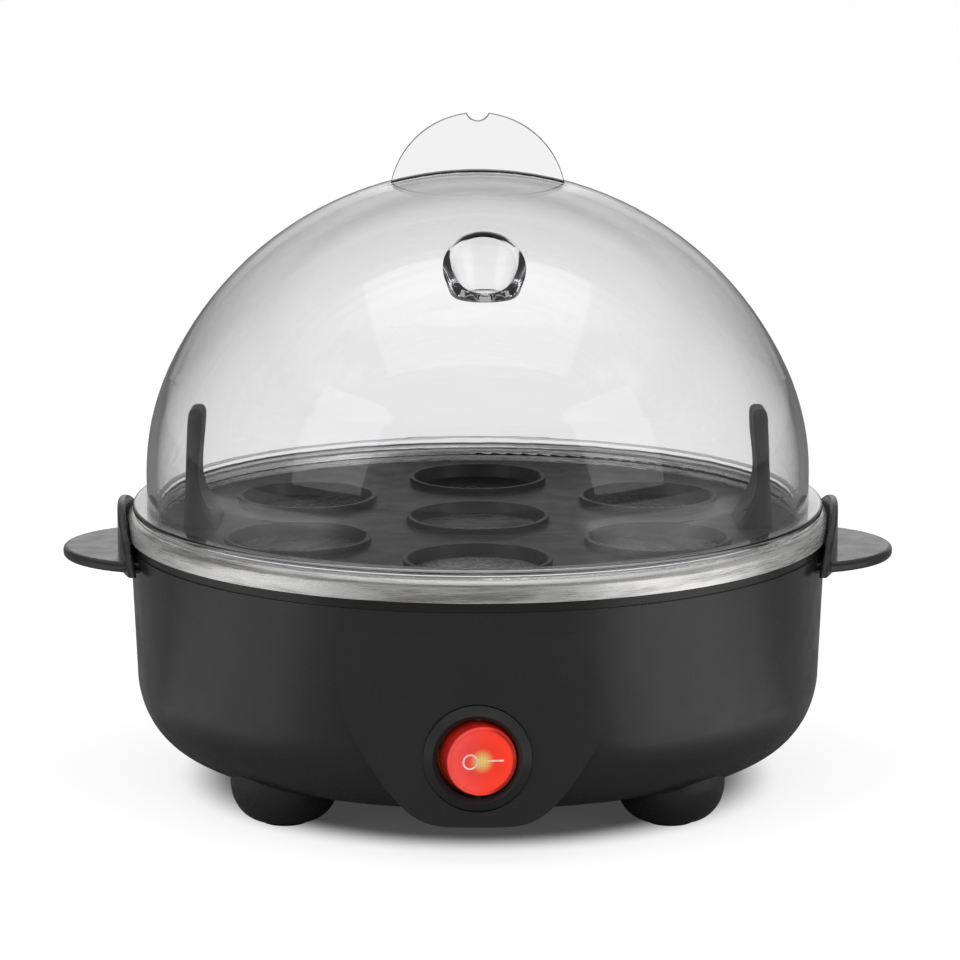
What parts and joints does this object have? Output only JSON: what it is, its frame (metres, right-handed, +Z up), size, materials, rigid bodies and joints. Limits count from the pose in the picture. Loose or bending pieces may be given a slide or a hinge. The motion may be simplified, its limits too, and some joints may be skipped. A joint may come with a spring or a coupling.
{
  "type": "electric egg cooker",
  "caption": "Round countertop electric egg cooker: clear lift-off dome lid with tab handle and vent well, lift-out tray, steel water pan, side grips and a lit rocker switch.",
  "frame": {"origin": "on the floor, under the middle of the whole object, which is also the axis of its round body", "axes": "+Z up, -Y towards the front with the rocker switch, +X to the right along the two side grips"},
  "size_m": [0.1886, 0.1653, 0.1518],
  "materials": {
    "black_plastic": "satin moulded black plastic",
    "tray_plastic": "satin moulded black plastic",
    "switch_plastic": "fine-textured black nylon",
    "black_rubber": "matt rubber",
    "zinc_steel": "zinc plated",
    "brushed_steel": "circular brushed stainless",
    "sheath_steel": "heat-tinted sheath",
    "cast_aluminium": "as cast",
    "brown_plastic": "phenolic",
    "white_ceramic": "glazed",
    "white_nylon": "natural nylon",
    "red_lens": "translucent red, lit from behind",
    "lamp_glass": "clear lamp envelope",
    "brass": "plain",
    "lead_brown": "silicone insulation",
    "lead_blue": "silicone insulation",
    "lead_sleeve": "glass-braid sleeve",
    "clear_plastic": "clear polished moulding"
  },
  "bodies": {
    "base": {"base_shell": "black_plastic", "block_screw": "zinc_steel", "bottom_cover": "black_plastic", "bottom_cover_screws": "zinc_steel", "bracket_screws": "zinc_steel", "clamp_screws": "zinc_steel", "clip_screw": "zinc_steel", "cord_clamp": "white_nylon", "cord_gland": "black_rubber", "foot_pads": "black_rubber", "fuse_clip": "zinc_steel", "heat_plate": "cast_aluminium", "heating_element": "sheath_steel", "heating_pan": "brushed_steel", "lead_fused": "lead_sleeve", "lead_lamp": "lead_blue", "lead_link": "lead_sleeve", "lead_live": "lead_brown", "lead_neutral": "lead_blue", "lead_switched": "lead_brown", "pan_bracket": "zinc_steel", "pan_stud": "zinc_steel", "rocker_pin": "zinc_steel", "stud_nut": "zinc_steel", "stud_washer": "zinc_steel", "switch_blades": "brass", "switch_contact": "brass", "switch_housing": "switch_plastic", "switch_lamp": "lamp_glass", "terminal_block": "white_nylon", "thermal_fuse": "white_ceramic", "thermostat": "brown_plastic", "thermostat_screws": "zinc_steel", "thermostat_strap": "zinc_steel"},
    "rocker": {"switch_rocker": "red_lens"},
    "tray": {"boiling_tray": "tray_plastic"},
    "lid": {"lid": "clear_plastic"}
  },
  "joints": [
    {"name": "lid_lift", "type": "slide", "parent": "base", "child": "lid", "axis": [0, 0, 1], "range_m": [0, 0.12]},
    {"name": "tray_lift", "type": "slide", "parent": "base", "child": "tray", "axis": [0, 0, 1], "range_m": [0, 0.06]},
    {"name": "rocker_tilt", "type": "hinge", "parent": "base", "child": "rocker", "pos_m": [0, -0.0766, 0.0235], "axis": [0, 0, -1], "range_deg": [0, 24]}
  ],
  "couplings": [
    {"joint": "tray_lift", "follows": "lid_lift", "ratio": 0.5}
  ]
}
